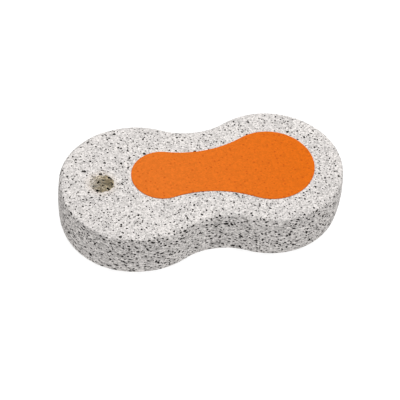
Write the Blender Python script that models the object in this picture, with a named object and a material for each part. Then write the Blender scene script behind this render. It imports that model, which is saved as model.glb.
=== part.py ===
"""Pumice stone for the feet: a sole-shaped block with a hanging hole and a thin sole-shaped label.

Metres, +Z up. The origin is under the middle of the bounding box, on the surface that the stone
rests on. +X runs along the stone, away from its hanging hole.
"""
import math
import random

import bmesh
import bpy
from mathutils import Matrix, Vector, noise

MM = 0.001

# The block's plan: two round lobes joined by a hollow waist, the same on both sides of the X axis.
HOLE_LOBE_X, HOLE_LOBE_RADIUS = -23.2 * MM, 26.8 * MM
FAR_LOBE_X, FAR_LOBE_RADIUS = 24.2 * MM, 25.8 * MM
WAIST_RADIUS = 24.0 * MM
HOLE_LOBE_SQUARENESS = 2.13     # exponent of the end's superellipse: 2 is a true circle
PLAN_STEP = 3.6 * MM            # length of one facet of the plan

# The block's height and edges. It is a little thinner at the end with the hole.
MIDDLE_THICKNESS = 19.0 * MM
THICKNESS_PER_LENGTH = 1.08 / 50
BASE_EDGE_RADIUS = 2.0 * MM
# The top edge is crisp in front at the hanging hole, more worn in front at the far end, and
# softest along the back.
HOLE_END_EDGE_RADIUS, FAR_END_EDGE_RADIUS, BACK_EDGE_RADIUS = 0.8 * MM, 1.5 * MM, 2.5 * MM
BELLY = 0.93 * MM               # how far the side wall swells at half its height
EDGE_FACETS = 3
WALL_FACETS = 3
UNEVENNESS = 0.12 * MM          # slow waviness of the ground wall
UNEVENNESS_LENGTH = 11 * MM

# The hanging hole, drilled through from top to base, with a crumbled wall and broken mouths.
HOLE_X, HOLE_Y = -35.5 * MM, 0.5 * MM
HOLE_RADIUS = 4.1 * MM
HOLE_MOUTH_FLARE, HOLE_MOUTH_DEPTH = 0.35 * MM, 0.8 * MM
HOLE_ROUGHNESS = 0.22 * MM
HOLE_SIDES = 20

# The open pores: a few large bubbles, and many small pits.
PORE_SEED = 41
BUBBLE_COUNT, BUBBLE_RADII = 60, (0.8 * MM, 1.25 * MM)
PIT_COUNT, PIT_RADII = 390, (0.48 * MM, 0.85 * MM)
PIT_SIDES = 5
PORE_WALL = 0.6 * MM            # least stone left between two pores
REST_PATCH = 4.0 * MM           # radius round the origin where the base is left whole

# The label: the same kind of outline, turned a little, lying on the sloping top.
LABEL_HEEL_X, LABEL_HEEL_RADIUS = -19.05 * MM, 10.85 * MM
LABEL_TOE_X, LABEL_TOE_RADIUS = 19.05 * MM, 15.9 * MM
LABEL_WAIST_RADIUS = 38.0 * MM
LABEL_X, LABEL_Y = 4.85 * MM, 0.1 * MM
LABEL_TURN = math.radians(-2.1)
LABEL_THICKNESS = 0.4 * MM
LABEL_STEP = 2.0 * MM
GAP = 0.3 * MM                  # between the label and the stone


def clear_scene():
    """Remove every object, so that the file builds the same model each time it is run."""
    for old in list(bpy.data.objects):
        bpy.data.objects.remove(old, do_unlink=True)


def new_collection(name):
    """Return a new collection that is linked to the scene."""
    collection = bpy.data.collections.new(name)
    bpy.context.scene.collection.children.link(collection)
    return collection


def plain_material(name, colour, roughness):
    """Return a Principled material of one colour."""
    material = bpy.data.materials.new(name)
    material.use_nodes = True
    shader = material.node_tree.nodes["Principled BSDF"]
    shader.inputs["Base Color"].default_value = (*colour, 1.0)
    shader.inputs["Roughness"].default_value = roughness
    shader.inputs["Metallic"].default_value = 0.0
    return material


def arc(centre, radius, start, end, step, squareness=2.0):
    """Return the points of an arc, without its last one. Over 2, squareness fills out its corners."""
    count = max(2, round(abs(end - start) * radius / step))
    points = []
    for k in range(count):
        angle = start + (end - start) * k / count
        cos, sin = math.cos(angle), math.sin(angle)
        reach = (abs(cos) ** squareness + abs(sin) ** squareness) ** (-1 / squareness)
        points.append(Vector(centre) + radius * reach * Vector((cos, sin)))
    return points


def sole_outline(heel_x, heel_radius, toe_x, toe_radius, waist_radius, step, squareness=2.0):
    """Return an anticlockwise outline of two lobes on the X axis joined by hollow waist arcs."""
    to_heel, to_toe = heel_radius + waist_radius, toe_radius + waist_radius
    apart = toe_x - heel_x
    along = (to_heel ** 2 - to_toe ** 2 + apart ** 2) / (2 * apart)
    waist = Vector((heel_x + along, math.sqrt(to_heel ** 2 - along ** 2)))
    heel, toe = Vector((heel_x, 0)), Vector((toe_x, 0))
    toe_angle = math.atan2(*(waist - toe).yx)
    heel_angle = math.atan2(*(waist - heel).yx)

    upper = arc(toe, toe_radius, 0, toe_angle, step)
    upper += arc(waist, waist_radius, toe_angle - math.pi, heel_angle - math.pi, step)
    upper += arc(heel, heel_radius, heel_angle, math.pi / 2, step)
    upper += arc(heel, heel_radius, math.pi / 2, math.pi, step, squareness)
    tip = Vector((heel_x - heel_radius, 0))
    lower = [Vector((p.x, -p.y)) for p in reversed(upper[1:])]
    return upper + [tip] + lower


def outward(outline):
    """Return the outward direction at each point of an anticlockwise outline."""
    following = outline[1:] + outline[:1]
    preceding = outline[-1:] + outline[:-1]
    chords = [b - a for a, b in zip(preceding, following)]
    return [Vector((c.y, -c.x)).normalized() for c in chords]


def thickness_at(x):
    """Return the height of the sloping top at x."""
    return MIDDLE_THICKNESS + THICKNESS_PER_LENGTH * x


def top_edge_radius_at(plan):
    """Return the rounding of the top edge at one point of the outline."""
    along = min(max((plan.x - HOLE_LOBE_X) / (FAR_LOBE_X - HOLE_LOBE_X), 0.0), 1.0)
    front = HOLE_END_EDGE_RADIUS + along * (FAR_END_EDGE_RADIUS - HOLE_END_EDGE_RADIUS)
    back = min(max(0.5 + plan.y / HOLE_LOBE_RADIUS, 0.0), 1.0)
    return front + back * (BACK_EDGE_RADIUS - front)


def wall_section(plan):
    """Return (height, distance out from the plan) up the side wall at one point of the outline."""
    thickness, top_radius = thickness_at(plan.x), top_edge_radius_at(plan)
    quarter = [math.pi / 2 * k / EDGE_FACETS for k in range(EDGE_FACETS + 1)]
    section = [(BASE_EDGE_RADIUS * (1 - math.cos(a)), BASE_EDGE_RADIUS * (math.sin(a) - 1))
               for a in quarter]
    rise = (thickness - BASE_EDGE_RADIUS - top_radius) / WALL_FACETS
    section += [(BASE_EDGE_RADIUS + rise * k, 0.0) for k in range(1, WALL_FACETS)]
    section += [(thickness - top_radius * (1 - math.sin(a)), top_radius * (math.cos(a) - 1))
                for a in quarter]
    return [(height, aside + BELLY * 4 * height / thickness * (1 - height / thickness))
            for height, aside in section]


def block_mesh():
    """Return the block without its hole and pores: rings up the wall, closed by two flat faces."""
    outline = sole_outline(HOLE_LOBE_X, HOLE_LOBE_RADIUS, FAR_LOBE_X, FAR_LOBE_RADIUS,
                           WAIST_RADIUS, PLAN_STEP, HOLE_LOBE_SQUARENESS)
    directions = outward(outline)
    sections = [wall_section(point) for point in outline]
    bm = bmesh.new()
    rings = []
    for level in range(len(sections[0])):
        ring = []
        for point, direction, section in zip(outline, directions, sections):
            height, aside = section[level]
            place = Vector((*(point + direction * aside), height))
            wave = UNEVENNESS * noise.noise(place / UNEVENNESS_LENGTH)
            ring.append(bm.verts.new(place + Vector((*direction, 0)) * wave))
        rings.append(ring)
    for ring in (rings[0], rings[-1]):
        for vert in ring:
            top = thickness_at(vert.co.x)
            vert.co.z = 0.0 if ring is rings[0] else top
    count = len(outline)
    for lower, upper in zip(rings, rings[1:]):
        for k in range(count):
            j = (k + 1) % count
            bm.faces.new((lower[k], lower[j], upper[j], upper[k]))
    bm.faces.new(reversed(rings[0]))
    bm.faces.new(rings[-1])
    centre_on_origin(bm)
    return bm


def centre_on_origin(bm):
    """Move a mesh so that its bounding box is centred over the origin."""
    xs = [v.co.x for v in bm.verts]
    ys = [v.co.y for v in bm.verts]
    middle = Vector((max(xs) + min(xs), max(ys) + min(ys), 0)) / 2
    bmesh.ops.translate(bm, verts=bm.verts, vec=-middle)


def mesh_object(name, bm, collection):
    """Turn a bmesh into an object in a collection."""
    mesh = bpy.data.meshes.new(name)
    bm.to_mesh(mesh)
    bm.free()
    made = bpy.data.objects.new(name, mesh)
    collection.objects.link(made)
    return made


def make_cutter(name, bm, collection):
    """Turn a bmesh into a cutter, which is left out of the model."""
    cutter = mesh_object(name, bm, collection)
    cutter.hide_render = True
    cutter.display_type = "WIRE"
    return cutter


def hole_cutter(collection):
    """Return the drill's path: a rough cylinder that flares where it breaks through each face."""
    top = thickness_at(HOLE_X)
    overrun = 2 * MM
    wide = HOLE_MOUTH_FLARE * (overrun + HOLE_MOUTH_DEPTH) / HOLE_MOUTH_DEPTH
    levels = [(-overrun, wide), (HOLE_MOUTH_DEPTH, 0.0)]
    levels += [(top * share, 0.0) for share in (0.25, 0.5, 0.75)]
    levels += [(top - HOLE_MOUTH_DEPTH, 0.0), (top + overrun, wide)]
    bm = bmesh.new()
    rings = []
    for height, flare in levels:
        ring = []
        for k in range(HOLE_SIDES):
            angle = 2 * math.pi * k / HOLE_SIDES
            direction = Vector((math.cos(angle), math.sin(angle), 0))
            crumb = noise.noise(Vector((*(direction * 2).xy, height / (3 * MM))))
            radius = HOLE_RADIUS + flare + HOLE_ROUGHNESS * crumb
            ring.append(bm.verts.new(Vector((HOLE_X, HOLE_Y, height)) + direction * radius))
        rings.append(ring)
    for lower, upper in zip(rings, rings[1:]):
        for k in range(HOLE_SIDES):
            j = (k + 1) % HOLE_SIDES
            bm.faces.new((lower[k], lower[j], upper[j], upper[k]))
    bm.faces.new(reversed(rings[0]))
    bm.faces.new(rings[-1])
    return make_cutter("hole_cutter", bm, collection)


def under_label(place):
    """Tell whether a point of the top is covered by the label, or close to its edge."""
    margin = 1.0 * MM
    across = Matrix.Rotation(-LABEL_TURN, 2) @ (place.xy - Vector((LABEL_X, LABEL_Y)))
    on_top = place.z > thickness_at(place.x) - BACK_EDGE_RADIUS / 2
    near_heel = (across - Vector((LABEL_HEEL_X, 0))).length < LABEL_HEEL_RADIUS + margin
    near_toe = (across - Vector((LABEL_TOE_X, 0))).length < LABEL_TOE_RADIUS + margin
    between = LABEL_HEEL_X < across.x < LABEL_TOE_X and abs(across.y) < LABEL_HEEL_RADIUS + margin
    return on_top and (near_heel or near_toe or between)


def pore_places(bm, radii, chooser):
    """Choose (place, outward direction, radius) for pores spread evenly over the block."""
    scatter = bm.copy()
    bmesh.ops.triangulate(scatter, faces=scatter.faces)
    faces = list(scatter.faces)
    areas = [face.calc_area() for face in faces]
    chosen = []
    for radius in radii:
        while True:
            face = chooser.choices(faces, areas)[0]
            a, b, c = (vert.co for vert in face.verts)
            u, v = sorted((chooser.random(), chooser.random()))
            place = a * u + b * (v - u) + c * (1 - v)
            to_hole = (place.xy - Vector((HOLE_X, HOLE_Y))).length - HOLE_RADIUS - HOLE_MOUTH_FLARE
            on_patch = place.length < REST_PATCH + radius
            if to_hole < radius + PORE_WALL or on_patch or under_label(place):
                continue
            if all((place - other).length > radius + size + PORE_WALL for other, _, size in chosen):
                chosen.append((place, face.normal.copy(), radius))
                break
    scatter.free()
    return chosen


def pore_cutter(bm, collection):
    """Return one cutter of all the pores: round bubbles, and small pits that narrow inwards."""
    chooser = random.Random(PORE_SEED)
    sizes = [chooser.uniform(*BUBBLE_RADII) for _ in range(BUBBLE_COUNT)]
    sizes += [chooser.uniform(*PIT_RADII) for _ in range(PIT_COUNT)]
    cutters = bmesh.new()
    for number, (place, normal, radius) in enumerate(pore_places(bm, sizes, chooser)):
        turn = Matrix.Rotation(chooser.uniform(0, 2 * math.pi), 4, "Z")
        inwards = (-normal).to_track_quat("Z", "Y").to_matrix().to_4x4()
        stretch = Matrix.Diagonal((1.0, chooser.uniform(0.7, 1.0), 1.0, 1.0))
        where = Matrix.Translation(place) @ inwards @ turn @ stretch
        if number < BUBBLE_COUNT:
            sink = Matrix.Translation((0, 0, 0.25 * radius))
            bmesh.ops.create_icosphere(cutters, subdivisions=1, radius=radius * 1.05,
                                       matrix=where @ sink)
        else:
            # The cone's wide end stands a quarter of a radius proud of the face.
            sink = Matrix.Translation((0, 0, 0.5 * radius))
            bmesh.ops.create_cone(cutters, cap_ends=True, segments=PIT_SIDES, depth=1.5 * radius,
                                  radius1=1.2 * radius, radius2=0.0, matrix=where @ sink)
    return make_cutter("pore_cutter", cutters, collection)


def cut(target, cutter, name):
    """Cut one object out of another."""
    boolean = target.modifiers.new(name, "BOOLEAN")
    boolean.operation = "DIFFERENCE"
    boolean.solver = "EXACT"
    boolean.object = cutter


def make_stone(collection, cutters):
    """Build the stone: the block, less its hanging hole and its pores."""
    bm = block_mesh()
    pores = pore_cutter(bm, cutters)
    for face in bm.faces:
        face.smooth = True
    stone = mesh_object("pumice_stone", bm, collection)
    stone.data.set_sharp_from_angle(angle=math.radians(35))
    stone.data.materials.append(plain_material("pumice", (0.62, 0.59, 0.56), 0.95))
    cut(stone, hole_cutter(cutters), "hanging hole")
    cut(stone, pores, "pores")


def make_label(collection):
    """Build the label: its flat outline, thickened, turned and laid parallel to the sloping top."""
    outline = sole_outline(LABEL_HEEL_X, LABEL_HEEL_RADIUS, LABEL_TOE_X, LABEL_TOE_RADIUS,
                           LABEL_WAIST_RADIUS, LABEL_STEP)
    curve = bpy.data.curves.new("sole_label", "CURVE")
    curve.dimensions = "2D"
    curve.fill_mode = "BOTH"
    curve.extrude = LABEL_THICKNESS / 2
    spline = curve.splines.new("POLY")
    spline.points.add(len(outline) - 1)
    for point, place in zip(spline.points, outline):
        point.co = (*place, 0.0, 1.0)
    spline.use_cyclic_u = True
    curve.materials.append(plain_material("orange_film", (0.79, 0.18, 0.022), 0.6))

    label = bpy.data.objects.new("sole_label", curve)
    height = thickness_at(LABEL_X) + GAP + LABEL_THICKNESS / 2
    slope = math.atan(THICKNESS_PER_LENGTH)
    label.rotation_mode = "ZYX"
    label.rotation_euler = (0.0, -slope, LABEL_TURN)
    label.location = (LABEL_X, LABEL_Y, height)
    collection.objects.link(label)


clear_scene()
pumice = new_collection("pumice stone")
make_stone(pumice, new_collection("cutters"))
make_label(pumice)
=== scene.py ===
"""A sole-shaped pumice stone with its orange label, on a pale studio floor."""
import math

import bmesh
import bpy
from mathutils import Matrix, Vector, noise


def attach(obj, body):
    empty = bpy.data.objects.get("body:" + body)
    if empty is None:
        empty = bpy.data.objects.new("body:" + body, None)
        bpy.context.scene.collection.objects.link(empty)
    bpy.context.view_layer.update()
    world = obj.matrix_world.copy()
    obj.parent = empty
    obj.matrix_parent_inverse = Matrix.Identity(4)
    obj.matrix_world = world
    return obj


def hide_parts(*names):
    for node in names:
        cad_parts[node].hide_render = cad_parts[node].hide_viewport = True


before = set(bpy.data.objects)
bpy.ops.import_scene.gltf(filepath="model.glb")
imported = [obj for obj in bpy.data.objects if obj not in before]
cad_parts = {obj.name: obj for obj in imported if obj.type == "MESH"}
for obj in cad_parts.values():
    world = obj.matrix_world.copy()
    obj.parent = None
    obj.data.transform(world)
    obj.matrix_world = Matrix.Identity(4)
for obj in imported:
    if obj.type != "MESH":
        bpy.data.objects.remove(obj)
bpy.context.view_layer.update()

# --- Camera -------------------------------------------------------------------------------------
# A long lens in front of the stone and well above it, turned a little towards the hanging hole
# and tipped, so that the stone's long side climbs across the picture.

MM = 0.001
CAMERA_TARGET = Vector((1.1, 3.3, 0.0)) * MM
CAMERA_AZIMUTH, CAMERA_ELEVATION, CAMERA_ROLL = map(math.radians, (-16.49, 48.84, 6.10))
CAMERA_DISTANCE = 550 * MM
CAMERA_LENS = 137.6

back = Vector((math.sin(CAMERA_AZIMUTH) * math.cos(CAMERA_ELEVATION),
               -math.cos(CAMERA_AZIMUTH) * math.cos(CAMERA_ELEVATION),
               math.sin(CAMERA_ELEVATION)))
level = Vector((math.cos(CAMERA_AZIMUTH), math.sin(CAMERA_AZIMUTH), 0.0))
right = level * math.cos(CAMERA_ROLL) + back.cross(level) * math.sin(CAMERA_ROLL)
up = back.cross(right)
camera_data = bpy.data.cameras.new("camera")
camera_data.lens = CAMERA_LENS
camera_data.clip_start, camera_data.clip_end = 0.01, 20.0
camera = bpy.data.objects.new("camera", camera_data)
camera.matrix_world = Matrix.Translation(CAMERA_TARGET + back * CAMERA_DISTANCE) \
    @ Matrix((right, up, back)).transposed().to_4x4()
bpy.context.scene.collection.objects.link(camera)
bpy.context.scene.camera = camera

# --- Studio -------------------------------------------------------------------------------------
# A wide glowing light table under an even sky that is white at the horizon and dimmer above. One
# large soft lamp hangs overhead, and a weaker one in front, so that the top is brightest and the
# walls fall to grey.

FLOOR_RADIUS = 3.0
FLOOR_GREY, FLOOR_GLOW = 0.25, 0.87
SKY_WHITE_BELOW, SKY_DIM_ABOVE = 0.08, 0.22
SKY_WHITE, SKY_DIM = 1.0, 0.38
WHITE = (1.0, 1.0, 1.0, 1.0)


def soft_lamp(name, place, size, power):
    """Hang a square lamp that faces the middle of the stone."""
    data = bpy.data.lights.new(name, "AREA")
    data.size = size
    data.energy = power
    lamp = bpy.data.objects.new(name, data)
    lamp.location = place
    lamp.rotation_euler = (-Vector(place)).to_track_quat("-Z", "Y").to_euler()
    bpy.context.scene.collection.objects.link(lamp)


bpy.context.scene.view_settings.view_transform = "Standard"
sky = bpy.data.worlds.new("studio")
sky.use_nodes = True
background = sky.node_tree.nodes["Background"]
background.inputs["Color"].default_value = WHITE
towards = sky.node_tree.nodes.new("ShaderNodeTexCoord")
rise = sky.node_tree.nodes.new("ShaderNodeSeparateXYZ")
glow = sky.node_tree.nodes.new("ShaderNodeMapRange")
for socket_name, value in (("From Min", SKY_WHITE_BELOW), ("From Max", SKY_DIM_ABOVE),
                           ("To Min", SKY_WHITE), ("To Max", SKY_DIM)):
    glow.inputs[socket_name].default_value = value
sky.node_tree.links.new(towards.outputs["Generated"], rise.inputs[0])
sky.node_tree.links.new(rise.outputs["Z"], glow.inputs["Value"])
sky.node_tree.links.new(glow.outputs["Result"], background.inputs["Strength"])
bpy.context.scene.world = sky

soft_lamp("overhead_lamp", (0.08, 0.12, 0.85), size=0.7, power=7.6)
soft_lamp("front_lamp", (0.55, -0.70, 0.55), size=0.6, power=1.12)

floor_mesh = bpy.data.meshes.new("floor")
floor_bm = bmesh.new()
bmesh.ops.create_circle(floor_bm, cap_ends=True, segments=96, radius=FLOOR_RADIUS)
floor_bm.to_mesh(floor_mesh)
floor_bm.free()
floor = bpy.data.objects.new("floor", floor_mesh)
bpy.context.scene.collection.objects.link(floor)
floor_material = bpy.data.materials.new("floor")
floor_material.use_nodes = True
floor_shader = floor_material.node_tree.nodes["Principled BSDF"]
floor_shader.inputs["Base Color"].default_value = (FLOOR_GREY, FLOOR_GREY, FLOOR_GREY, 1.0)
floor_shader.inputs["Roughness"].default_value = 0.9
floor_shader.inputs["Specular IOR Level"].default_value = 0.0
floor_shader.inputs["Emission Color"].default_value = WHITE
floor_shader.inputs["Emission Strength"].default_value = FLOOR_GLOW
floor_mesh.materials.append(floor_material)

# --- Pumice stone -------------------------------------------------------------------------------
# One block of pale pumice, ground to the shape of a shoe sole: two round lobes and a waist, a wall
# that swells a little, rounded edges, and a flat top that falls slightly towards the hanging hole.
# The grinding leaves the bubbles of the rock cut open all over it.

HOLE_LOBE_X, HOLE_LOBE_RADIUS = -23.2 * MM, 26.8 * MM
FAR_LOBE_X, FAR_LOBE_RADIUS = 24.2 * MM, 25.8 * MM
WAIST_RADIUS = 24.0 * MM
HOLE_LOBE_SQUARENESS = 2.13
MIDDLE_THICKNESS = 19.0 * MM
THICKNESS_PER_LENGTH = 1.08 / 50
HOLE_LOBE_EDGE_RADIUS, FAR_LOBE_EDGE_RADIUS = 0.8 * MM, 1.5 * MM
HOLE_LOBE_BACK_EDGE_RADIUS, FAR_LOBE_BACK_EDGE_RADIUS = 3.5 * MM, 2.5 * MM
BACK_EDGE_AT_AXIS = 0.2                 # share of the back edge's radius in the one at the long axis
BASE_EDGE_RADIUS = 2.0 * MM
BELLY, HOLE_END_BELLY = 0.91 * MM, 0.45 * MM
PLAN_STEP = 1.4 * MM
EDGE_STEPS, WALL_STEPS, FACE_STEPS = 5, 11, 14
FACE_DRAWN_IN = 0.985                   # how far a face's innermost ring goes to its middle line
HOLE_X, HOLE_Y, HOLE_RADIUS = -35.5 * MM, 0.5 * MM, 4.0 * MM
ROCK_LAYERS = (0.4, 0.2, 1.0)           # the direction across the rock's slanting layers


def arc(centre, radius, start, end, step, squareness=2.0):
    """Points of an arc, without its last one. Over 2, squareness fills out its corners."""
    count = max(2, round(abs(end - start) * radius / step))
    points = []
    for k in range(count):
        angle = start + (end - start) * k / count
        cos, sin = math.cos(angle), math.sin(angle)
        reach = (abs(cos) ** squareness + abs(sin) ** squareness) ** (-1 / squareness)
        points.append(Vector(centre) + radius * reach * Vector((cos, sin)))
    return points


def sole_outline(heel_x, heel_radius, toe_x, toe_radius, waist_radius, step, squareness=2.0):
    """An anticlockwise outline of two lobes on the X axis joined by hollow waist arcs."""
    to_heel, to_toe = heel_radius + waist_radius, toe_radius + waist_radius
    apart = toe_x - heel_x
    along = (to_heel ** 2 - to_toe ** 2 + apart ** 2) / (2 * apart)
    waist = Vector((heel_x + along, math.sqrt(to_heel ** 2 - along ** 2)))
    heel, toe = Vector((heel_x, 0)), Vector((toe_x, 0))
    toe_angle = math.atan2(*(waist - toe).yx)
    heel_angle = math.atan2(*(waist - heel).yx)
    upper = arc(toe, toe_radius, 0, toe_angle, step)
    upper += arc(waist, waist_radius, toe_angle - math.pi, heel_angle - math.pi, step)
    upper += arc(heel, heel_radius, heel_angle, math.pi / 2, step)
    upper += arc(heel, heel_radius, math.pi / 2, math.pi, step, squareness)
    tip = Vector((heel_x - heel_radius, 0))
    lower = [Vector((p.x, -p.y)) for p in reversed(upper[1:])]
    return upper + [tip] + lower


def thickness_at(x):
    """Height of the sloping top at x."""
    return MIDDLE_THICKNESS + THICKNESS_PER_LENGTH * x


def top_edge_radius_at(plan):
    """Rounding of the top edge: crisp in front at the hanging hole, more worn elsewhere."""
    along = min(max((plan.x - HOLE_LOBE_X) / (FAR_LOBE_X - HOLE_LOBE_X), 0.0), 1.0)
    front = HOLE_LOBE_EDGE_RADIUS + along * (FAR_LOBE_EDGE_RADIUS - HOLE_LOBE_EDGE_RADIUS)
    back = HOLE_LOBE_BACK_EDGE_RADIUS + along * (FAR_LOBE_BACK_EDGE_RADIUS - HOLE_LOBE_BACK_EDGE_RADIUS)
    return front + min(max(BACK_EDGE_AT_AXIS + plan.y / HOLE_LOBE_RADIUS, 0.0), 1.0) * (back - front)


def wall_section(plan):
    """(height, distance out from the plan) up the side wall at one point of the outline."""
    thickness, top_radius = thickness_at(plan.x), top_edge_radius_at(plan)
    quarter = [math.pi / 2 * k / EDGE_STEPS for k in range(EDGE_STEPS + 1)]
    section = [(BASE_EDGE_RADIUS * (1 - math.cos(a)), BASE_EDGE_RADIUS * (math.sin(a) - 1)) for a in quarter]
    rise = (thickness - BASE_EDGE_RADIUS - top_radius) / WALL_STEPS
    section += [(BASE_EDGE_RADIUS + rise * k, 0.0) for k in range(1, WALL_STEPS)]
    section += [(thickness - top_radius * (1 - math.sin(a)), top_radius * (math.cos(a) - 1)) for a in quarter]
    to_hole_end = min(max((HOLE_LOBE_X - plan.x) / HOLE_LOBE_RADIUS, 0.0), 1.0)
    belly = BELLY + to_hole_end * (HOLE_END_BELLY - BELLY)
    return [(height, aside + belly * 4 * height / thickness * (1 - height / thickness))
            for height, aside in section]


def drawn_in(ring, heel_x, toe_x, share):
    """A flat ring drawn in by a share towards the middle line of its two lobes."""
    drawn = []
    for place in ring:
        middle = min(max(place.x, heel_x), toe_x)
        drawn.append(Vector((place.x + (middle - place.x) * share, place.y * (1 - share), place.z)))
    return drawn


def loft(rings, name):
    """A closed mesh object through a stack of rings with equal numbers of points."""
    bm = bmesh.new()
    rows = [[bm.verts.new(place) for place in ring] for ring in rings]
    count = len(rows[0])
    for lower, upper in zip(rows, rows[1:]):
        for k in range(count):
            j = (k + 1) % count
            bm.faces.new((lower[k], lower[j], upper[j], upper[k]))
    bm.faces.new(reversed(rows[0]))
    bm.faces.new(rows[-1])
    mesh = bpy.data.meshes.new(name)
    bm.to_mesh(mesh)
    bm.free()
    made = bpy.data.objects.new(name, mesh)
    bpy.context.scene.collection.objects.link(made)
    return made


def make_block():
    """The ground block, before anything is drilled or cut open."""
    outline = sole_outline(HOLE_LOBE_X, HOLE_LOBE_RADIUS, FAR_LOBE_X, FAR_LOBE_RADIUS,
                           WAIST_RADIUS, PLAN_STEP, HOLE_LOBE_SQUARENESS)
    chords = [b - a for a, b in zip(outline[-1:] + outline, outline[1:] + outline[:1])]
    outward = [Vector((chord.y, -chord.x)).normalized() for chord in chords]
    wall_rings = []
    for row in zip(*[wall_section(point) for point in outline]):
        wall_rings.append([Vector((*(point + direction * aside), height))
                           for point, direction, (height, aside) in zip(outline, outward, row)])
    shares = [FACE_DRAWN_IN * k / FACE_STEPS for k in range(1, FACE_STEPS + 1)]
    base_rings = [drawn_in(wall_rings[0], HOLE_LOBE_X, FAR_LOBE_X, share) for share in reversed(shares)]
    top_rings = [drawn_in(wall_rings[-1], HOLE_LOBE_X, FAR_LOBE_X, share) for share in shares]
    for ring in top_rings:
        for place in ring:
            place.z = thickness_at(place.x)
    return loft(base_rings + wall_rings + top_rings, "stone")


# The drill's path: a little wider along the stone than across it, ridged and ragged all the way,
# and broken wider at each face.
DRILL_LEVELS, DRILL_SIDES = 96, 72
DRILL_OVERRUN = 1.5 * MM
DRILL_PITCH, DRILL_RIDGE, DRILL_CHIP, DRILL_OVAL = 1.9 * MM, 0.14 * MM, 0.25 * MM, 0.2 * MM
CHIP_DEPTH, CHIP_SIZE = 1.2 * MM, 1.1 * MM
COARSE_CRUMB_SIZE, FINE_CRUMB_SIZE = 2.2 * MM, 0.9 * MM
# The widest bubbles that the drill cut through: degrees round the hole, height, radius.
DRILLED_BUBBLES = ((101, 14.3 * MM, 0.6 * MM), (73, 15.7 * MM, 0.65 * MM), (87, 18.2 * MM, 0.55 * MM),
                   (108, 16.2 * MM, 0.5 * MM), (37, 17.3 * MM, 0.8 * MM), (27, 15.2 * MM, 0.6 * MM),
                   (43, 11.6 * MM, 0.7 * MM), (98, 9.9 * MM, 0.8 * MM), (133, 17.0 * MM, 0.5 * MM))
DRILLED_BUBBLE_SET_BACK = 0.2 * MM
DRILLED_BUBBLE_SHAPE = (1.1, 1.3, 0.75)     # outwards, along the hole's wall and up, in radii


def make_drill():
    """The solid that the drill takes out."""
    rings = []
    top = thickness_at(HOLE_X)
    for step in range(DRILL_LEVELS + 1):
        height = -DRILL_OVERRUN + (top + 2 * DRILL_OVERRUN) * step / DRILL_LEVELS
        from_face = min(height, top - height)
        ring = []
        for k in range(DRILL_SIDES):
            angle = 2 * math.pi * k / DRILL_SIDES
            direction = Vector((math.cos(angle), math.sin(angle), 0))
            spot = direction * HOLE_RADIUS + Vector((0, 0, height))
            crumb = noise.noise(spot / COARSE_CRUMB_SIZE) * 0.36 * MM
            crumb += noise.noise(spot / FINE_CRUMB_SIZE) * 0.5 * MM
            ridge = DRILL_RIDGE * math.sin(2 * math.pi * height / DRILL_PITCH + angle + 5 * crumb / MM)
            chip = DRILL_CHIP * max(0.0, 1.0 - from_face / CHIP_DEPTH) * (0.5 + noise.noise(spot / CHIP_SIZE))
            chip *= 1.0 - 0.6 * direction.x
            reach = HOLE_RADIUS + DRILL_OVAL * math.cos(2 * angle) + crumb + ridge + chip
            ring.append(Vector((HOLE_X, HOLE_Y, height)) + direction * reach)
        rings.append(ring)
    return loft(rings, "drill")


def bake_modifiers(piece):
    """Replace a piece's mesh by its evaluated one, and take its modifiers off."""
    shape = piece.evaluated_get(bpy.context.evaluated_depsgraph_get())
    mesh = bpy.data.meshes.new_from_object(shape)
    piece.modifiers.clear()
    piece.data = mesh


# No pore is cut where the label is stuck, and few round the mouths of the hole.
LABEL_HEEL_X, LABEL_HEEL_RADIUS = -19.05 * MM, 10.85 * MM
LABEL_TOE_X, LABEL_TOE_RADIUS = 19.05 * MM, 15.9 * MM
LABEL_WAIST_RADIUS = 38.0 * MM
LABEL_X, LABEL_Y = 4.85 * MM, 0.1 * MM
LABEL_TURN = math.radians(-2.1)
TOP_LAYER = 0.2 * MM
MOUTH_MARGIN, MOUTH_PORES = 0.7 * MM, 0.3


def label_outline(step):
    """The label's outline, round its own middle and along X."""
    return sole_outline(LABEL_HEEL_X, LABEL_HEEL_RADIUS, LABEL_TOE_X, LABEL_TOE_RADIUS,
                        LABEL_WAIST_RADIUS, step)


def on_stone(point):
    """The place on the stone's plan of a point of the label."""
    return Matrix.Rotation(LABEL_TURN, 2) @ point + Vector((LABEL_X, LABEL_Y))


def inside(point, outline):
    """Tell whether a point of the plan lies inside a closed outline."""
    crossings = 0
    for a, b in zip(outline, outline[1:] + outline[:1]):
        if (a.y > point.y) != (b.y > point.y):
            crossings += point.x < a.x + (b.x - a.x) * (point.y - a.y) / (b.y - a.y)
    return crossings % 2 == 1


def mark_bare(mesh):
    """Store at each point of the stone the share of its pores that it keeps, as "bare"."""
    label_plan = [on_stone(point) for point in label_outline(PLAN_STEP)]
    bare = mesh.attributes.new("bare", "FLOAT", "POINT")
    for vert in mesh.vertices:
        covered = vert.co.z > thickness_at(vert.co.x) - TOP_LAYER and inside(vert.co.xy, label_plan)
        at_mouth = (vert.co.xy - Vector((HOLE_X, HOLE_Y))).length < HOLE_RADIUS + MOUTH_MARGIN
        bare.data[vert.index].value = 0.0 if covered else MOUTH_PORES if at_mouth else 1.0


def add(tree, kind, sockets=None, **settings):
    """Add a node. settings are its own choices; sockets are values, or the outputs that feed it."""
    made = tree.nodes.new(kind)
    for name, value in settings.items():
        setattr(made, name, value)
    by_identifier = {socket.identifier: socket for socket in made.inputs}
    for name, value in (sockets or {}).items():
        socket = by_identifier.get(name) or made.inputs[name]
        if isinstance(value, bpy.types.NodeSocket):
            tree.links.new(value, socket)
        else:
            socket.default_value = value
    return made


def out(node, identifier):
    """The output of a node that has that identifier."""
    return next(socket for socket in node.outputs if socket.identifier == identifier)


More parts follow.
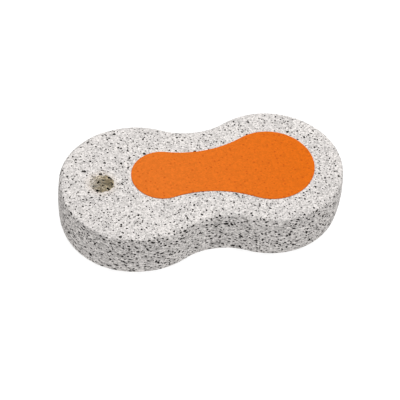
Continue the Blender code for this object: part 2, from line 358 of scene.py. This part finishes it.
def new_tree(name, kind, inputs, outputs):
    """A node group with named sockets: the tree, its inputs by name, and its output node."""
    tree = bpy.data.node_groups.new(name, kind)
    for socket_name, (socket_kind, value) in inputs.items():
        socket = tree.interface.new_socket(socket_name, in_out="INPUT", socket_type=socket_kind)
        if value is not None:
            socket.default_value = value
    for socket_name, socket_kind in outputs.items():
        tree.interface.new_socket(socket_name, in_out="OUTPUT", socket_type=socket_kind)
    given = tree.nodes.new("NodeGroupInput").outputs
    return tree, given, tree.nodes.new("NodeGroupOutput")


def maths(tree, operation, a, b=0.0):
    """The result of one Math node."""
    return add(tree, "ShaderNodeMath", {0: a, 1: b}, operation=operation).outputs[0]


def axis_of(tree, axis, vector):
    """The X, Y or Z of a vector."""
    return add(tree, "ShaderNodeSeparateXYZ", {0: vector}).outputs[axis]


def ramp(tree, value, low, high, start=0.0, end=1.0):
    """A value carried from low..high to start..end, held at the ends."""
    return add(tree, "ShaderNodeMapRange", {
        "Value": value, "From Min": low, "From Max": high, "To Min": start, "To Max": end}).outputs["Result"]


def chance(tree, seed, low, high):
    """A random number for each point."""
    picked = add(tree, "FunctionNodeRandomValue", {"Min_001": low, "Max_001": high, "Seed": seed})
    return out(picked, "Value_001")


WALL_SLOPE, TOP_SLOPE = 0.4, 0.9            # the Z of the normal on a wall and on the top


def make_pore_layer():
    """Nodes that scatter bubbles of one kind over the stone, to be cut out of it."""
    tree, given, result = new_tree("pore_layer", "GeometryNodeTree", {
        "Mesh": ("NodeSocketGeometry", None),
        "Keep": ("NodeSocketFloat", 1.0),
        "Spacing": ("NodeSocketFloat", 1.0 * MM),
        "Number per Area": ("NodeSocketFloat", 1e5),
        "Smallest": ("NodeSocketFloat", 0.2 * MM),
        "Largest": ("NodeSocketFloat", 0.5 * MM),
        "Bias": ("NodeSocketFloat", 2.0),
        "On Flat": ("NodeSocketFloat", 1.0),
        "On Base": ("NodeSocketFloat", 0.5),
        "Bubble": ("NodeSocketGeometry", None),
        "Seed": ("NodeSocketInt", 0),
    }, {"Mesh": "NodeSocketGeometry"})
    # Fewer bubbles are cut open on the flat top than on the walls, and fewer still on the base.
    slope = axis_of(tree, "Z", add(tree, "GeometryNodeInputNormal").outputs[0])
    on_top = ramp(tree, slope, WALL_SLOPE, TOP_SLOPE, 1.0, given["On Flat"])
    on_base = ramp(tree, slope, -TOP_SLOPE, -WALL_SLOPE, given["On Base"], 1.0)
    kept = maths(tree, "MULTIPLY", maths(tree, "MULTIPLY", on_top, on_base), given["Keep"])
    points = add(tree, "GeometryNodeDistributePointsOnFaces", {
        "Mesh": given["Mesh"], "Distance Min": given["Spacing"], "Density Max": given["Number per Area"],
        "Density Factor": kept, "Seed": given["Seed"]}, distribute_method="POISSON")
    # A higher bias makes more of the bubbles small.
    normal = points.outputs["Normal"]
    point_slope = axis_of(tree, "Z", normal)
    lot = maths(tree, "POWER", chance(tree, 11, 0.0, 1.0), given["Bias"])
    size = ramp(tree, lot, 0.0, 1.0, given["Smallest"], given["Largest"])
    size = maths(tree, "MULTIPLY", size, ramp(tree, point_slope, WALL_SLOPE, TOP_SLOPE, 1.0, 0.9))
    # On the wall the bubbles lie drawn out along the slanting layers of the rock.
    sideways = add(tree, "ShaderNodeVectorMath", {0: ROCK_LAYERS, 1: normal}, operation="CROSS_PRODUCT")
    wander = add(tree, "FunctionNodeRandomValue", {
        "Min": (-0.6, -0.6, -0.6), "Max": (0.6, 0.6, 0.6), "Seed": 12}, data_type="FLOAT_VECTOR")
    grain = add(tree, "ShaderNodeVectorMath", {0: sideways.outputs[0], 1: out(wander, "Value")})
    turn = add(tree, "FunctionNodeAxesToRotation", {
        "Primary Axis": normal, "Secondary Axis": grain.outputs[0]}, primary_axis="Z", secondary_axis="X")
    drawn_out = ramp(tree, point_slope, WALL_SLOPE, TOP_SLOPE, 1.2, 1.0)
    stretch = add(tree, "ShaderNodeCombineXYZ", {
        "X": maths(tree, "MULTIPLY", chance(tree, 13, 0.95, 1.25), drawn_out),
        "Y": chance(tree, 14, 0.8, 1.0),
        "Z": chance(tree, 15, 0.9, 1.5)}).outputs[0]
    scale = add(tree, "ShaderNodeVectorMath", {0: stretch, "Scale": size}, operation="SCALE")
    bubbles = add(tree, "GeometryNodeInstanceOnPoints", {
        "Points": points.outputs["Points"], "Instance": given["Bubble"],
        "Rotation": turn.outputs[0], "Scale": scale.outputs[0]})
    real = add(tree, "GeometryNodeRealizeInstances", {0: bubbles.outputs[0]})
    tree.links.new(real.outputs[0], result.inputs["Mesh"])
    return tree


BASE_FLAT_BELOW, LUMPY_ABOVE = 0.1 * MM, 1.0 * MM
PATCH_SIZE, PATCH_PORES = 9 * MM, 0.9       # a sparse patch keeps this share of its pores
PRICK_WIDTH, PRICK_DEPTH, PRICK_SINK = 1.3, 2.6, 2.0    # in radii


def make_cut_pores(pore_layer):
    """Nodes that make the ground faces a little lumpy and cut three sizes of pores open in them."""
    tree, given, result = new_tree("cut_pores", "GeometryNodeTree", {
        "Geometry": ("NodeSocketGeometry", None),
        "Lump Size": ("NodeSocketFloat", 3.0 * MM),
        "Lump Height": ("NodeSocketFloat", 0.12 * MM),
        "Bubble Radius": ("NodeSocketFloat", 0.66 * MM),
        "Pore Radius": ("NodeSocketFloat", 0.54 * MM),
        "Pinprick Radius": ("NodeSocketFloat", 0.33 * MM),
        "Rim Angle": ("NodeSocketFloat", math.radians(24)),
        "Material": ("NodeSocketMaterial", None),
    }, {"Geometry": "NodeSocketGeometry"})
    # The hollows between the lumps sink into the block, and the base stays flat.
    place = add(tree, "GeometryNodeInputPosition").outputs[0]
    lumps = add(tree, "ShaderNodeTexNoise", {
        "Vector": place, "Scale": maths(tree, "DIVIDE", 1.0, given["Lump Size"]), "Detail": 2.0})
    off_base = ramp(tree, axis_of(tree, "Z", place), BASE_FLAT_BELOW, LUMPY_ABOVE)
    sunk = maths(tree, "MULTIPLY", maths(tree, "SUBTRACT", out(lumps, "Fac"), 1.0), given["Lump Height"])
    inward = add(tree, "ShaderNodeVectorMath", {
        0: add(tree, "GeometryNodeInputNormal").outputs[0],
        "Scale": maths(tree, "MULTIPLY", sunk, off_base)}, operation="SCALE").outputs[0]
    block = add(tree, "GeometryNodeSetPosition", {"Geometry": given["Geometry"], "Offset": inward}).outputs[0]

    bare = out(add(tree, "GeometryNodeInputNamedAttribute", {"Name": "bare"}), "Attribute")
    patches = add(tree, "ShaderNodeTexNoise", {"Vector": place, "Scale": 1 / PATCH_SIZE, "Detail": 1.0})
    keep = maths(tree, "MULTIPLY", bare, ramp(tree, out(patches, "Fac"), 0.35, 0.6, PATCH_PORES, 1.0))
    bubble = add(tree, "GeometryNodeMeshIcoSphere", {"Radius": 1.0, "Subdivisions": 2}).outputs["Mesh"]
    pore = add(tree, "GeometryNodeMeshIcoSphere", {"Radius": 1.0, "Subdivisions": 1}).outputs["Mesh"]
    cone = add(tree, "GeometryNodeMeshCone", {
        "Vertices": 5, "Radius Top": PRICK_WIDTH, "Radius Bottom": 0.0, "Depth": PRICK_DEPTH}).outputs["Mesh"]
    prick = add(tree, "GeometryNodeTransform", {
        "Geometry": cone, "Translation": (0.0, 0.0, -PRICK_SINK)}).outputs[0]
    cut = add(tree, "GeometryNodeMeshBoolean", {"Mesh 1": block}, operation="DIFFERENCE", solver="MANIFOLD")
    for values in (
            {"Spacing": 2.0 * MM, "Number per Area": 0.06e6, "Smallest": 0.4 * MM, "Bubble": bubble,
             "Largest": given["Bubble Radius"], "Bias": 3.0, "On Flat": 0.5, "On Base": 0.3, "Seed": 3},
            {"Spacing": 0.95 * MM, "Number per Area": 0.33e6, "Smallest": 0.3 * MM, "Bubble": pore,
             "Largest": given["Pore Radius"], "Bias": 1.5, "On Flat": 0.36, "On Base": 0.15, "Seed": 5},
            {"Spacing": 0.8 * MM, "Number per Area": 0.32e6, "Smallest": 0.2 * MM, "Bubble": prick,
             "Largest": given["Pinprick Radius"], "Bias": 1.4, "On Flat": 1.0, "On Base": 0.15, "Seed": 8}):
        layer = add(tree, "GeometryNodeGroup", {"Mesh": block, "Keep": keep, **values}, node_tree=pore_layer)
        tree.links.new(layer.outputs["Mesh"], cut.inputs["Mesh 2"])
    for degrees, height, radius in DRILLED_BUBBLES:
        turn = math.radians(degrees)
        from_axis = HOLE_RADIUS + DRILLED_BUBBLE_SET_BACK
        drilled = add(tree, "GeometryNodeTransform", {
            "Geometry": bubble, "Rotation": (0.0, 0.0, turn),
            "Translation": (HOLE_X + from_axis * math.cos(turn), HOLE_Y + from_axis * math.sin(turn), height),
            "Scale": [share * radius for share in DRILLED_BUBBLE_SHAPE]})
        tree.links.new(drilled.outputs[0], cut.inputs["Mesh 2"])

    # The depth of each point in a pore is stored, for the material to paint shade by it, and the pores' rims
    # stay sharp.
    depth = add(tree, "GeometryNodeProximity", {"Target": block}).outputs["Distance"]
    marked = add(tree, "GeometryNodeStoreNamedAttribute", {
        "Geometry": cut.outputs["Mesh"], "Name": "depth", "Value": depth}).outputs[0]
    angle = out(add(tree, "GeometryNodeInputMeshEdgeAngle"), "Unsigned Angle")
    is_rim = add(tree, "FunctionNodeCompare", {"A": angle, "B": given["Rim Angle"]}, operation="GREATER_THAN")
    rimmed = add(tree, "GeometryNodeStoreNamedAttribute", {
        "Geometry": marked, "Name": "sharp_edge", "Value": is_rim.outputs["Result"]},
        data_type="BOOLEAN", domain="EDGE").outputs[0]
    smooth = add(tree, "GeometryNodeSetShadeSmooth", {"Geometry": rimmed}).outputs[0]
    real = add(tree, "GeometryNodeRealizeInstances", {0: smooth}).outputs[0]
    coated = add(tree, "GeometryNodeSetMaterial", {"Geometry": real, "Material": given["Material"]})
    tree.links.new(coated.outputs[0], result.inputs["Geometry"])
    return tree


def make_fine_grain():
    """Shader nodes for a fine grain, as a shade round 1 and as a height."""
    tree, given, result = new_tree("fine_grain", "ShaderNodeTree", {
        "Vector": ("NodeSocketVector", None),
        "Size": ("NodeSocketFloat", 0.5 * MM),
        "Contrast": ("NodeSocketFloat", 0.2),
    }, {"Shade": "NodeSocketFloat", "Height": "NodeSocketFloat"})
    grain_scale = maths(tree, "DIVIDE", 1.0, given["Size"])
    speckle = add(tree, "ShaderNodeTexNoise", {
        "Vector": given["Vector"], "Scale": grain_scale, "Detail": 3.0, "Roughness": 0.65})
    crystals = add(tree, "ShaderNodeTexVoronoi", {"Vector": given["Vector"], "Scale": grain_scale})
    fleck = add(tree, "ShaderNodeSeparateColor", {0: out(crystals, "Color")}).outputs[0]
    rough = maths(tree, "ADD", maths(tree, "MULTIPLY", out(speckle, "Fac"), 2.0), fleck)
    spread = maths(tree, "MULTIPLY", maths(tree, "SUBTRACT", rough, 1.5), given["Contrast"])
    tree.links.new(maths(tree, "ADD", spread, 1.0), result.inputs["Shade"])
    tree.links.new(out(speckle, "Fac"), result.inputs["Height"])
    return tree


def make_dots():
    """Shader nodes for round dots in some cells of a pattern, as wide as each cell's lot says."""
    tree, given, result = new_tree("dots", "ShaderNodeTree", {
        "Lot": ("NodeSocketColor", None),
        "Distance": ("NodeSocketFloat", 0.0),
        "Lowest Lot": ("NodeSocketFloat", 0.5),
        "Smallest": ("NodeSocketFloat", 0.0),
        "Largest": ("NodeSocketFloat", 0.4),
        "Edge": ("NodeSocketFloat", 0.1),
    }, {"Mask": "NodeSocketFloat"})
    lot = add(tree, "ShaderNodeSeparateColor", {0: given["Lot"]}).outputs[0]
    radius = ramp(tree, lot, given["Lowest Lot"], 1.0, given["Smallest"], given["Largest"])
    beyond = maths(tree, "SUBTRACT", given["Distance"], radius)
    tree.links.new(ramp(tree, beyond, 0.0, given["Edge"], 1.0, 0.0), result.inputs["Mask"])
    return tree


def new_material(name, roughness, specular):
    """A material with a plain Principled shader: the material, its tree and its shader."""
    material = bpy.data.materials.new(name)
    material.use_nodes = True
    shader = material.node_tree.nodes["Principled BSDF"]
    shader.inputs["Roughness"].default_value = roughness
    shader.inputs["Specular IOR Level"].default_value = specular
    return material, material.node_tree, shader


def mix(tree, share, a, b, blend="MIX"):
    """A mix of two colours, each an output or a plain (red, green, blue)."""
    a, b = [(*colour, 1.0) if isinstance(colour, tuple) else colour for colour in (a, b)]
    mixed = add(tree, "ShaderNodeMix", {"Factor_Float": share, "A_Color": a, "B_Color": b},
                data_type="RGBA", blend_type=blend)
    return out(mixed, "Result_Color")


MOTTLE_SIZE, BLOT_SIZE, GRAIN_SIZE = 9 * MM, 2.2 * MM, 0.5 * MM
PINHOLE_CELL = 0.85 * MM
RIDGE_WIDTH, RIDGE_DRAG = 0.55 * MM, 0.22   # a ridge is its width over its drag long
SHADED_FROM, BLACK_FROM = 0.01 * MM, 0.12 * MM          # depths in a pore
PALE_ROCK, GREY_ROCK = (0.590, 0.562, 0.543), (0.544, 0.519, 0.504)
PINHOLE_PAINTED_SHADE, FURROW_PAINTED_SHADE, PORE_PAINTED_SHADE = (0.06, 0.055, 0.05), (0.18, 0.17, 0.16), (0.032, 0.029, 0.026)
MOUTH_STAIN = (0.56, 0.47, 0.38)
UPPER_BORE_PAINTED_LIGHT_GREY, UPPER_BORE_PAINTED_LIGHT_BROWN = (0.90, 0.84, 0.76), (0.86, 0.74, 0.51)
DEEP_BORE_PAINTED_LIGHT_GREY, DEEP_BORE_PAINTED_LIGHT_BROWN = (0.98, 0.95, 0.92), (0.97, 0.89, 0.70)


def make_pumice():
    """Warm grey glassy rock with a fine grain, stained by the drill, with painted shade in its pores,
    pinholes and wall furrows, painted light and shade on its wall ridges, and painted light inside the hole.
    """
    pumice, tree, shader = new_material("pumice", 0.95, 0.15)
    place = add(tree, "ShaderNodeTexCoord").outputs["Object"]
    mottle = add(tree, "ShaderNodeTexNoise", {"Vector": place, "Scale": 1 / MOTTLE_SIZE, "Detail": 3.0})
    mottle = out(mottle, "Fac")
    rock = mix(tree, ramp(tree, mottle, 0.35, 0.65), PALE_ROCK, GREY_ROCK)
    grain = add(tree, "ShaderNodeGroup", {
        "Vector": place, "Size": GRAIN_SIZE, "Contrast": 0.58}, node_tree=fine_grain)
    rock = mix(tree, 1.0, rock, grain.outputs["Shade"], "MULTIPLY")

    # Pinholes too small to cut, painted in as dark spots of shade.
    cells = add(tree, "ShaderNodeTexVoronoi", {"Vector": place, "Scale": 1 / PINHOLE_CELL})
    pinholes = add(tree, "ShaderNodeGroup", {
        "Lot": out(cells, "Color"), "Distance": out(cells, "Distance"), "Lowest Lot": 0.77,
        "Smallest": -0.06, "Largest": 0.42, "Edge": 0.06}, node_tree=dots).outputs["Mask"]
    rock = mix(tree, maths(tree, "MULTIPLY", pinholes, 0.92), rock, PINHOLE_PAINTED_SHADE)

    # Grinding has dragged the walls into short ridges along the layers of the rock. Their tops are painted
    # lighter and their furrows darker, as painted light and shade, besides the bump.
    slope = axis_of(tree, "Z", add(tree, "ShaderNodeNewGeometry").outputs["Normal"])
    walls = ramp(tree, maths(tree, "ABSOLUTE", slope), 0.45, 0.8, 1.0, 0.0)
    across = add(tree, "ShaderNodeVectorMath", {0: place, 1: ROCK_LAYERS}, operation="DOT_PRODUCT")
    dragged = add(tree, "ShaderNodeCombineXYZ", {
        "X": maths(tree, "MULTIPLY", axis_of(tree, "X", place), RIDGE_DRAG),
        "Y": maths(tree, "MULTIPLY", axis_of(tree, "Y", place), RIDGE_DRAG),
        "Z": out(across, "Value")}).outputs[0]
    ridges = add(tree, "ShaderNodeTexNoise", {
        "Vector": dragged, "Scale": 1 / RIDGE_WIDTH, "Detail": 2.0, "Roughness": 0.6, "Distortion": 0.5})
    ridges = out(ridges, "Fac")
    ridge_painted_light_and_shade = maths(tree, "MULTIPLY", maths(tree, "SUBTRACT", ridges, 0.5), walls)
    rock = mix(tree, 1.0, rock, maths(tree, "ADD", ridge_painted_light_and_shade, 1.0), "MULTIPLY")
    streaked = maths(tree, "MULTIPLY", ramp(tree, mottle, 0.42, 0.56, 0.65, 1.0), walls)
    furrows = maths(tree, "MULTIPLY", ramp(tree, ridges, 0.36, 0.47, 1.0, 0.0), streaked)
    # Painted shade in the furrows.
    rock = mix(tree, maths(tree, "MULTIPLY", furrows, 0.55), rock, FURROW_PAINTED_SHADE)

    # Round the mouth of the hole the rock is faintly stained. Inside the hole it is browner on the label's
    # side, and painted far paler than the rock as painted light, paler still further down.
    top = thickness_at(HOLE_X)
    from_hole = add(tree, "ShaderNodeVectorMath", {0: place, 1: (HOLE_X, HOLE_Y, 0.0)}, operation="SUBTRACT")
    from_hole = from_hole.outputs[0]
    height = axis_of(tree, "Z", from_hole)
    flat = add(tree, "ShaderNodeVectorMath", {0: from_hole, 1: (1.0, 1.0, 0.0)}, operation="MULTIPLY")
    from_axis = add(tree, "ShaderNodeVectorMath", {0: flat.outputs[0]}, operation="LENGTH")
    blot = add(tree, "ShaderNodeTexNoise", {"Vector": place, "Scale": 1 / BLOT_SIZE, "Detail": 4.0})
    blot = out(blot, "Fac")
    ragged = maths(tree, "ADD", out(from_axis, "Value"), maths(tree, "MULTIPLY", blot, 1.6 * MM))
    rock = mix(tree, ramp(tree, ragged, 4.9 * MM, 7.4 * MM, 0.35, 0.0), rock, MOUTH_STAIN)
    bore = maths(tree, "MULTIPLY", ramp(tree, ragged, 5.1 * MM, 5.6 * MM, 1.0, 0.0),
                 ramp(tree, height, top - 0.5 * MM, top - 0.15 * MM, 1.0, 0.0))
    browner = ramp(tree, axis_of(tree, "X", from_hole), -2.5 * MM, 2.5 * MM)
    # Brown stain and painted light together: the bore's colours are near white to light the hole.
    upper_bore_lit = mix(tree, browner, UPPER_BORE_PAINTED_LIGHT_GREY, UPPER_BORE_PAINTED_LIGHT_BROWN)
    deep_bore_lit = mix(tree, browner, DEEP_BORE_PAINTED_LIGHT_GREY, DEEP_BORE_PAINTED_LIGHT_BROWN)
    bore_stain_and_light = mix(tree, ramp(tree, height, top - 1.0 * MM, top - 5.0 * MM), upper_bore_lit, deep_bore_lit)
    bore_stain_and_light = mix(tree, 1.0, bore_stain_and_light, ramp(tree, blot, 0.38, 0.51, 0.64, 1.0), "MULTIPLY")
    bore_stain_and_light = mix(tree, 1.0, bore_stain_and_light, grain.outputs["Shade"], "MULTIPLY")
    rock = mix(tree, maths(tree, "MULTIPLY", bore, 0.95), rock, bore_stain_and_light)

    # Painted shade: each point is darkened by its depth in a cut pore, to near black deep down.
    pore_depth = out(add(tree, "ShaderNodeAttribute", attribute_name="depth"), "Fac")
    rock = mix(tree, ramp(tree, pore_depth, SHADED_FROM, BLACK_FROM, 0.0, 0.97), rock, PORE_PAINTED_SHADE)
    tree.links.new(rock, shader.inputs["Base Color"])
    relief = maths(tree, "SUBTRACT", grain.outputs["Height"], maths(tree, "ADD", pinholes, furrows))
    bump = add(tree, "ShaderNodeBump", {"Strength": 0.6, "Distance": 0.12 * MM, "Height": relief})
    tree.links.new(bump.outputs[0], shader.inputs["Normal"])
    return pumice


fine_grain = make_fine_grain()
dots = make_dots()
pumice = make_pumice()
stone = make_block()
drill = make_drill()
drilling = stone.modifiers.new("drilling", "BOOLEAN")
drilling.operation = "DIFFERENCE"
drilling.solver = "MANIFOLD"
drilling.object = drill
bake_modifiers(stone)
bpy.data.objects.remove(drill)
mark_bare(stone.data)
pores = stone.modifiers.new("pores", "NODES")
pores.node_group = make_cut_pores(make_pore_layer())
for item in pores.node_group.interface.items_tree:
    if item.in_out == "INPUT" and item.name == "Material":
        pores[item.identifier] = pumice
bake_modifiers(stone)
stone.data.attributes.remove(stone.data.attributes["bare"])
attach(stone, "root")
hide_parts("pumice_stone")

# --- Sole label ---------------------------------------------------------------------------------
# A thin matt orange film in the shape of a sole, with its adhesive pressed onto the top of the
# stone. It sinks a little here and there over the rough rock beneath it.

FILM_THICKNESS = 0.24 * MM
FILM_EDGE = 0.06 * MM
FILM_PLAN_STEP, FILM_STEPS = 1.0 * MM, 16
FILM_EDGE_INSET, FILM_FACE_INSET, FILM_FACE_DRAWN_IN = 0.004, 0.012, 0.97
DIMPLE_SIZE, DIMPLE_DEPTH = 0.9 * MM, 0.05 * MM
FILM_GRAIN_SIZE, SPECK_CELL = 0.6 * MM, 1.7 * MM
HEEL_ORANGE, TOE_ORANGE, SPECK_RED = (0.618, 0.140, 0.014), (0.602, 0.122, 0.0045), (0.40, 0.05, 0.004)

film_outline = [point.to_3d() for point in label_outline(FILM_PLAN_STEP)]


def film_ring(inset, lift):
    """The film's outline drawn in towards its middle line by a share, at a height over the stone."""
    ring = []
    for point in drawn_in(film_outline, LABEL_HEEL_X, LABEL_TOE_X, inset):
        plan = on_stone(point.xy)
        dimple = 0.0
        if inset > FILM_FACE_INSET:
            dimple = DIMPLE_DEPTH * max(0.0, noise.noise(Vector((*plan, 0)) / DIMPLE_SIZE) - 0.15)
        ring.append(Vector((*plan, thickness_at(plan.x) + lift - dimple)))
    return ring


def make_orange_film():
    """Matt orange film with a faint grain and darker specks, a little paler at its heel."""
    orange, tree, shader = new_material("orange_film", 0.7, 0.05)
    place = add(tree, "ShaderNodeTexCoord").outputs["Object"]
    ink = mix(tree, ramp(tree, axis_of(tree, "X", place), -15 * MM, 38 * MM), HEEL_ORANGE, TOE_ORANGE)
    grain = add(tree, "ShaderNodeGroup", {
        "Vector": place, "Size": FILM_GRAIN_SIZE, "Contrast": 0.16}, node_tree=fine_grain)
    ink = mix(tree, 1.0, ink, grain.outputs["Shade"], "MULTIPLY")
    cells = add(tree, "ShaderNodeTexVoronoi", {"Vector": place, "Scale": 1 / SPECK_CELL},
                voronoi_dimensions="2D")
    specks = add(tree, "ShaderNodeGroup", {
        "Lot": out(cells, "Color"), "Distance": out(cells, "Distance"), "Lowest Lot": 0.35,
        "Smallest": -0.05, "Largest": 0.19, "Edge": 0.08}, node_tree=dots).outputs["Mask"]
    ink = mix(tree, maths(tree, "MULTIPLY", specks, 0.55), ink, SPECK_RED)
    tree.links.new(ink, shader.inputs["Base Color"])
    bump = add(tree, "ShaderNodeBump", {
        "Strength": 0.3, "Distance": 0.04 * MM, "Height": grain.outputs["Height"]})
    tree.links.new(bump.outputs[0], shader.inputs["Normal"])
    return orange


film_rings = [film_ring(0.0, 0.0), film_ring(0.0, FILM_THICKNESS - FILM_EDGE),
              film_ring(FILM_EDGE_INSET, FILM_THICKNESS - FILM_EDGE * 0.3),
              film_ring(FILM_FACE_INSET, FILM_THICKNESS)]
film_rings += [film_ring(FILM_FACE_INSET + FILM_FACE_DRAWN_IN * k / FILM_STEPS, FILM_THICKNESS)
               for k in range(1, FILM_STEPS + 1)]
film = loft(film_rings, "label_film")
film.data.shade_smooth()
film.data.set_sharp_from_angle(angle=math.radians(50))
film.data.materials.append(make_orange_film())
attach(film, "root")
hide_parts("sole_label")
